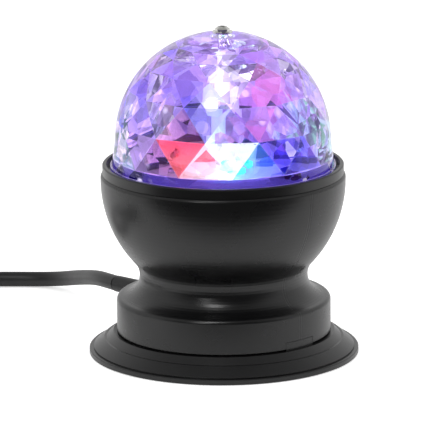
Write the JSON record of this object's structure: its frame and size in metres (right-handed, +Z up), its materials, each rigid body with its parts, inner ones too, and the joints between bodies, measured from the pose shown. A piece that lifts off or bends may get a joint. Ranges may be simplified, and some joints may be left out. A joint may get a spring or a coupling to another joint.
{
  "type": "disco ball light",
  "caption": "Table disco light: clear faceted dome turned by a geared motor over coloured LEDs, on a black bowl, neck, drum and round foot with a mains cord.",
  "frame": {"origin": "on the floor, under the middle of the foot", "axes": "+Z up along the dome's axis; the picture looks along +Y; the cord leaves behind the drum towards -X +Y"},
  "size_m": [0.2367, 0.1505, 0.1224],
  "materials": {
    "black_plastic": "satin moulded, charcoal black",
    "rubber_black": "matt",
    "zinc_steel": "zinc plated",
    "deck_white": "smooth",
    "sink_aluminium": "as cast",
    "board_white": "white solder mask",
    "led_red": "glowing red",
    "led_green": "glowing green",
    "led_blue": "glowing blue",
    "lens_clear": "clear silicone",
    "dome_clear": "clear, polished outside, faceted inside",
    "dark_steel": "dull plated",
    "post_white": "translucent white",
    "shaft_steel": "ground",
    "gear_white": "acetal",
    "gear_yellow": "acetal",
    "gear_orange": "acetal",
    "plate_grey": "moulded",
    "bronze": "sintered",
    "can_steel": "drawn",
    "cap_ivory": "moulded",
    "board_green": "solder mask",
    "core_brown": "taped winding on a ferrite core",
    "capacitor_black": "sleeved can",
    "film_red": "dipped",
    "fuse_ceramic": "glazed tube",
    "terminal_green": "moulded",
    "lead_brown": "insulated",
    "lead_red": "insulated",
    "lead_blue": "insulated",
    "cord_black": "flexible sheath",
    "tie_white": "paper and wire",
    "plug_black": "moulded",
    "pin_nickel": "nickel plated"
  },
  "bodies": {
    "base": {"foot_base": "black_plastic", "foot_pad": "rubber_black", "foot_screws": "zinc_steel", "housing": "black_plastic", "rim_ring": "black_plastic", "light_deck": "deck_white", "deck_screws": "zinc_steel", "heat_sink": "sink_aluminium", "led_board": "board_white", "led_screws": "zinc_steel", "led_red": "led_red", "led_green": "led_green", "led_blue": "led_blue", "led_lenses": "lens_clear", "gearbox_base": "plate_grey", "gearbox_cover": "plate_grey", "gearbox_screws": "zinc_steel", "hanger_screws": "zinc_steel", "lower_bush": "bronze", "upper_bush": "bronze", "gear_1_pin": "shaft_steel", "gear_2_pin": "shaft_steel", "motor_can": "can_steel", "motor_cap": "cap_ivory", "motor_screws": "zinc_steel", "driver_board": "board_green", "board_screws": "zinc_steel", "transformer": "core_brown", "electrolytics": "capacitor_black", "film_capacitor": "film_red", "fuse": "fuse_ceramic", "terminal_block": "terminal_green", "strain_relief": "cord_black", "mains_leads": "lead_brown", "led_leads": "lead_red", "motor_leads": "lead_blue", "cord_run": "cord_black", "cord_coil": "cord_black", "cord_tail": "cord_black", "cord_tie": "tie_white", "plug_body": "plug_black", "plug_pins": "pin_nickel"},
    "dome_rotor": {"dome": "dome_clear", "dome_washer": "dark_steel", "dome_screw": "dark_steel", "centre_post": "post_white", "drive_shaft": "shaft_steel", "output_gear": "gear_white"},
    "gear_2": {"reduction_gear_2": "gear_orange"},
    "gear_1": {"reduction_gear_1": "gear_yellow"},
    "motor_rotor": {"motor_shaft": "shaft_steel", "motor_pinion": "bronze"}
  },
  "joints": [
    {"name": "dome_spin", "type": "hinge", "parent": "base", "child": "dome_rotor", "pos_m": [0, 0, 0.05], "axis": [0, 0, 1], "continuous": true},
    {"name": "gear_2_spin", "type": "hinge", "parent": "base", "child": "gear_2", "pos_m": [0.0069, 0.01195, 0.05], "axis": [0, 0, 1], "continuous": true},
    {"name": "gear_1_spin", "type": "hinge", "parent": "base", "child": "gear_1", "pos_m": [-0.00505, 0.013, 0.05], "axis": [0, 0, 1], "continuous": true},
    {"name": "motor_spin", "type": "hinge", "parent": "base", "child": "motor_rotor", "pos_m": [-0.01488, 0.00611, 0.05], "axis": [0, 0, 1], "continuous": true}
  ],
  "couplings": [
    {"joint": "gear_2_spin", "follows": "dome_spin", "ratio": -3.6},
    {"joint": "gear_1_spin", "follows": "dome_spin", "ratio": 10.8},
    {"joint": "motor_spin", "follows": "dome_spin", "ratio": -32.4}
  ]
}
